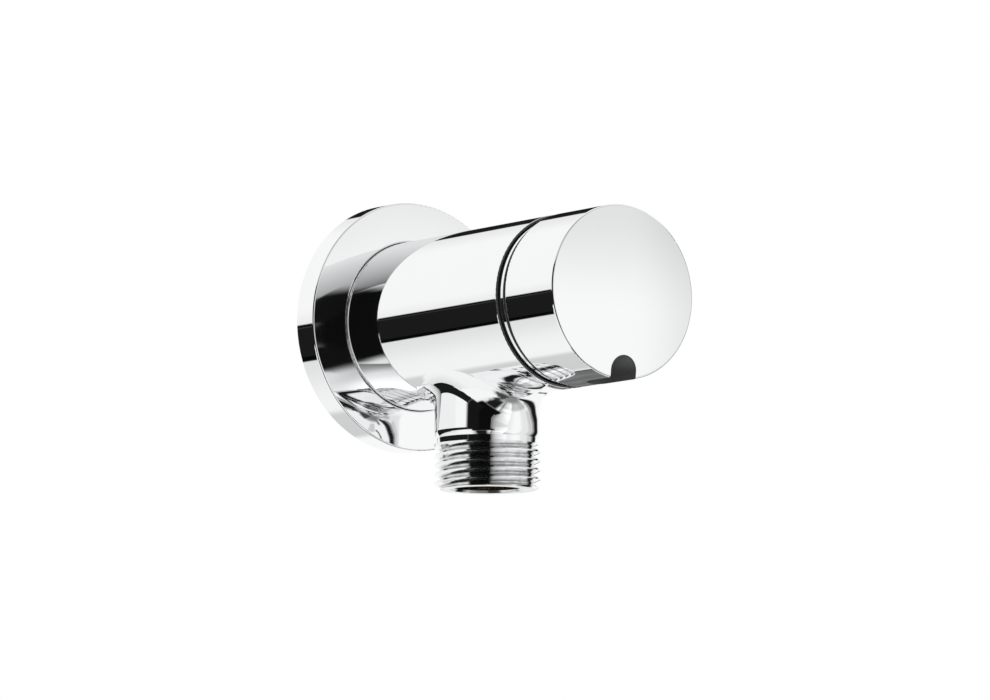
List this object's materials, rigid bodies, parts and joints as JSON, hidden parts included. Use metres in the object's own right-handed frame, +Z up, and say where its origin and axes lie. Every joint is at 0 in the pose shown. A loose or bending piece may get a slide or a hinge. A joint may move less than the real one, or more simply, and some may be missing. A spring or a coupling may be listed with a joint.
{
  "type": "urinal flush valve",
  "caption": "Self-closing wall valve with a push button on the inlet axis, a round wall rosette and a threaded outlet pointing down.",
  "frame": {"origin": "where the valve's axis meets the wall's face, inside the inlet tail", "axes": "+Y into the wall along the inlet and button axis, +Z up, so the outlet points along -Z"},
  "size_m": [0.05, 0.0894, 0.0598],
  "materials": {
    "body_chrome": "mirror-polished chrome plate on brass",
    "button_chrome": "mirror-polished chrome plate",
    "rosette_chrome": "mirror-polished chrome plate",
    "stainless": "fine-turned stainless steel",
    "spring_steel": "drawn wire and stamped strip",
    "brass": "fine-turned, unplated",
    "seal_rubber": "smooth moulded rubber",
    "fibre_plastic": "matt slip washer",
    "white_plastic": "moulded acetal",
    "black_plastic": "moulded acetal"
  },
  "bodies": {
    "valve": {"valve_body": "body_chrome", "inlet_strainer": "stainless", "strainer_snap_ring": "spring_steel", "flow_restrictor": "white_plastic", "restrictor_oring": "seal_rubber", "cartridge_housing": "brass", "housing_oring_front": "seal_rubber", "housing_oring_rear": "seal_rubber", "slip_washer": "fibre_plastic", "cartridge_nut": "brass", "stem_guide": "black_plastic", "guide_oring": "seal_rubber", "stem_oring": "seal_rubber", "guide_circlip": "spring_steel", "button_spring": "spring_steel", "piston_spring": "spring_steel"},
    "button": {"push_button_cap": "button_chrome", "stem_adapter": "brass", "button_grub_screw": "stainless", "push_stem": "stainless", "stem_stop_ring": "spring_steel"},
    "piston": {"piston": "black_plastic", "piston_lip_seal": "seal_rubber", "piston_guide_ring": "white_plastic", "valve_rod": "stainless", "piston_nut": "brass", "disc_nut": "brass", "valve_disc": "brass", "seat_washer": "seal_rubber"},
    "timing_needle": {"metering_screw": "stainless"},
    "rosette": {"wall_rosette": "rosette_chrome", "rosette_oring": "seal_rubber", "wall_gasket": "seal_rubber"}
  },
  "joints": [
    {"name": "button_press", "type": "slide", "parent": "valve", "child": "button", "axis": [0, 1, 0], "range_m": [0, 0.0023], "stiffness_N_per_m": 2500, "springref_m": -0.002, "deforming": ["button_spring"]},
    {"name": "piston_open", "type": "slide", "parent": "valve", "child": "piston", "axis": [0, 1, 0], "range_m": [0, 0.0023], "stiffness_N_per_m": 600, "springref_m": -0.002, "deforming": ["piston_spring"]},
    {"name": "needle_turn", "type": "hinge", "parent": "piston", "child": "timing_needle", "pos_m": [0.0047, -0.036, 0], "axis": [0, -1, 0], "range_deg": [-180, 180]},
    {"name": "rosette_slide", "type": "slide", "parent": "valve", "child": "rosette", "axis": [0, -1, 0], "range_m": [0, 0.007]}
  ],
  "couplings": [
    {"joint": "piston_open", "follows": "button_press", "ratio": 1}
  ]
}
